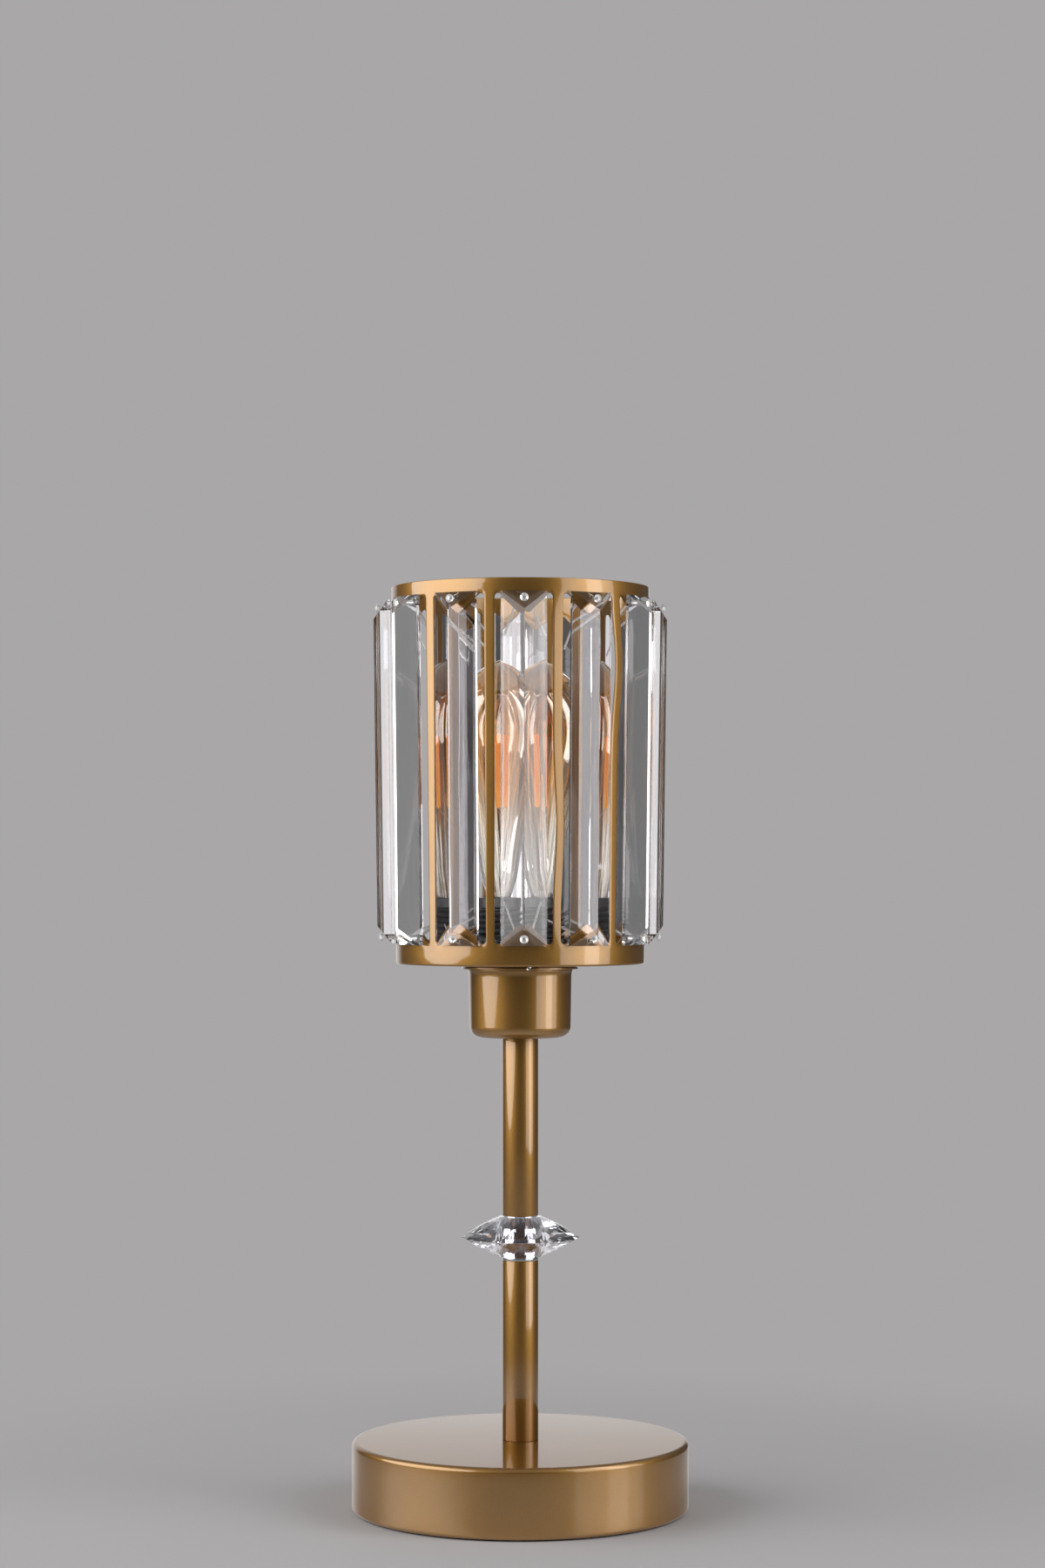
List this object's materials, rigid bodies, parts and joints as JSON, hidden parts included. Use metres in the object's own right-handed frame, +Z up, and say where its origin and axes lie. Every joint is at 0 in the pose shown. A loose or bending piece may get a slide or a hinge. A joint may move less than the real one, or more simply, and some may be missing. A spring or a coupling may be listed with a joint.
{
  "type": "table lamp",
  "caption": "Table lamp with a round gold base, slim stem with a faceted glass disc, and a drum shade of clear glass bars round an amber filament bulb.",
  "frame": {"origin": "centre of the underside of the base pad, on the table", "axes": "+Z up along the stem, -Y towards the front, +X to the right seen from the front"},
  "size_m": [0.15, 0.1519, 0.411],
  "materials": {
    "gold_paint": "gloss antique gold lacquer on steel",
    "cast_weight": "as cast, oiled",
    "pad": "matt foam rubber",
    "outlet_rubber": "smooth",
    "zinc_steel": "zinc plated",
    "chrome": "polished",
    "cut_glass": "clear, polished facets",
    "clear_plastic": "clear moulded",
    "bakelite": "black moulded phenolic, satin",
    "brass": "plain rolled",
    "nickel": "nickel plated, slightly dull",
    "amber_glass": "amber tint that fades to clear at the neck",
    "filament": "coated light strips on a glass stem"
  },
  "bodies": {
    "root": {"base_pad": "pad", "base_weight": "cast_weight", "base_shell": "gold_paint", "cord_grommet": "outlet_rubber", "base_nut": "zinc_steel", "threaded_rod": "zinc_steel", "stem_lower": "gold_paint", "disc_core": "chrome", "crystal_disc": "cut_glass", "stem_upper": "gold_paint", "holder_cup": "gold_paint", "split_ring": "gold_paint", "holder_base": "bakelite", "holder_insert": "bakelite", "centre_contact": "brass", "screw_sleeve": "brass", "holder_shell": "bakelite", "shade_floor": "gold_paint", "shade_frame": "gold_paint", "glass_bar_01": "cut_glass", "glass_bar_02": "cut_glass", "glass_bar_03": "cut_glass", "glass_bar_04": "cut_glass", "glass_bar_05": "cut_glass", "glass_bar_06": "cut_glass", "glass_bar_07": "cut_glass", "glass_bar_08": "cut_glass", "glass_bar_09": "cut_glass", "glass_bar_10": "cut_glass", "glass_bar_11": "cut_glass", "glass_bar_12": "cut_glass", "upper_pin_01": "clear_plastic", "upper_pin_02": "clear_plastic", "upper_pin_03": "clear_plastic", "upper_pin_04": "clear_plastic", "upper_pin_05": "clear_plastic", "upper_pin_06": "clear_plastic", "upper_pin_07": "clear_plastic", "upper_pin_08": "clear_plastic", "upper_pin_09": "clear_plastic", "upper_pin_10": "clear_plastic", "upper_pin_11": "clear_plastic", "upper_pin_12": "clear_plastic", "lower_pin_01": "clear_plastic", "lower_pin_02": "clear_plastic", "lower_pin_03": "clear_plastic", "lower_pin_04": "clear_plastic", "lower_pin_05": "clear_plastic", "lower_pin_06": "clear_plastic", "lower_pin_07": "clear_plastic", "lower_pin_08": "clear_plastic", "lower_pin_09": "clear_plastic", "lower_pin_10": "clear_plastic", "lower_pin_11": "clear_plastic", "lower_pin_12": "clear_plastic"},
    "shade_ring": {"shade_ring": "bakelite"},
    "bulb_carrier": {"bulb_tip": "nickel"},
    "bulb": {"bulb_cap": "nickel", "filament_mount": "filament", "bulb_glass": "amber_glass"}
  },
  "joints": [
    {"name": "bulb_lift", "type": "slide", "parent": "root", "child": "bulb_carrier", "axis": [0, 0, 1], "range_m": [0, 0.0182]},
    {"name": "bulb_turn", "type": "hinge", "parent": "bulb_carrier", "child": "bulb", "pos_m": [0, 0, 0.26], "axis": [0, 0, 1], "range_deg": [0, 1800]},
    {"name": "ring_lift", "type": "slide", "parent": "root", "child": "shade_ring", "axis": [0, 0, 1], "range_m": [0, 0.0135]}
  ],
  "couplings": [
    {"joint": "bulb_lift", "follows": "bulb_turn", "m_per_rad": 0.00057757}
  ]
}
